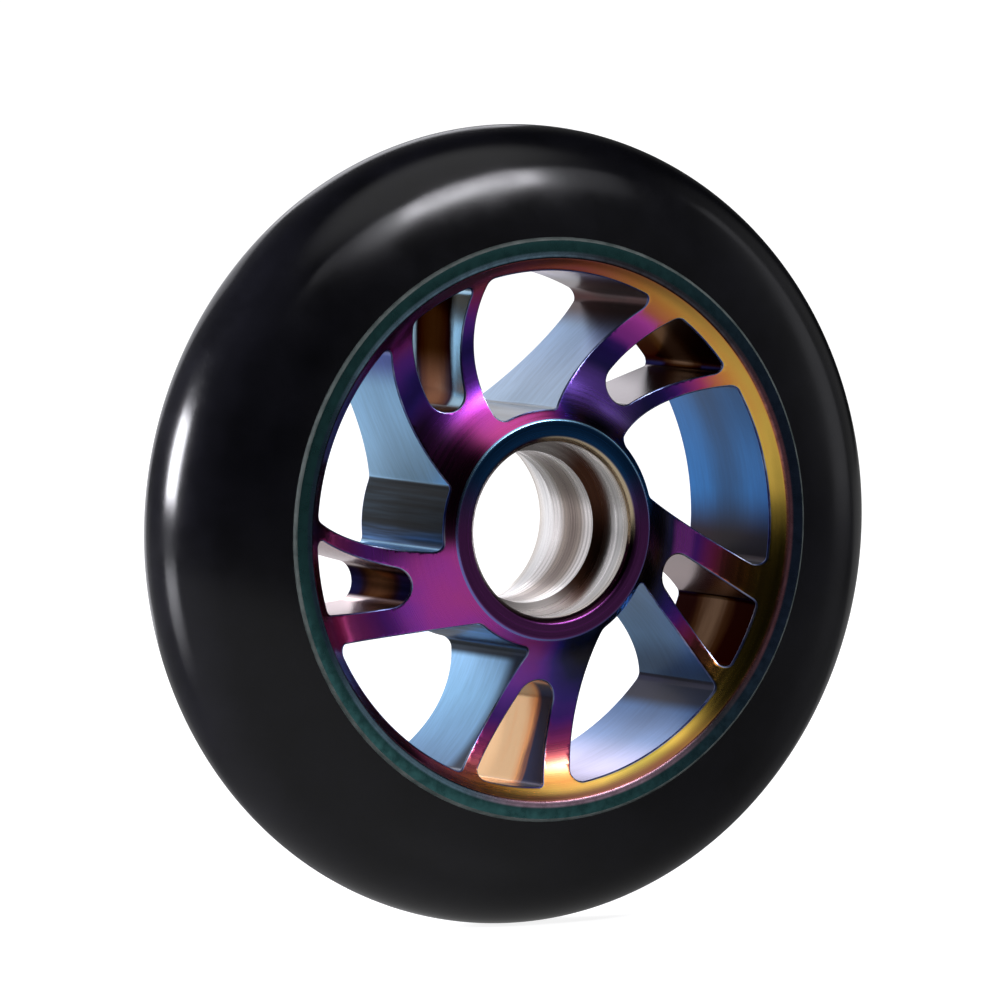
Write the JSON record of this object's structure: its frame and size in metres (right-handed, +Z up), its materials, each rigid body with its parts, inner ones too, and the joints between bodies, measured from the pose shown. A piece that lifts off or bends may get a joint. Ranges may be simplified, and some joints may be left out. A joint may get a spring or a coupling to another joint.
{
  "type": "stunt scooter wheel",
  "caption": "Stunt scooter wheel: machined metal core with dished, swept and slotted spokes, open windows, two bearing seats and a cast polyurethane tyre.",
  "frame": {"origin": "middle of the wheel, on the axle line, half way between its two bearing faces", "axes": "+Y along the axle, from the pictured front face to the back; +Z up; +X to the right seen from the front"},
  "size_m": [0.1, 0.024, 0.1],
  "materials": {
    "core_coat": "polished aluminium with an iridescent oil-slick coat from blue over purple to gold; the bearing seats are bare machined metal",
    "tyre_urethane": "smooth glossy black cast polyurethane"
  },
  "bodies": {
    "root": {"core": "core_coat", "tyre": "tyre_urethane"}
  },
  "joints": []
}
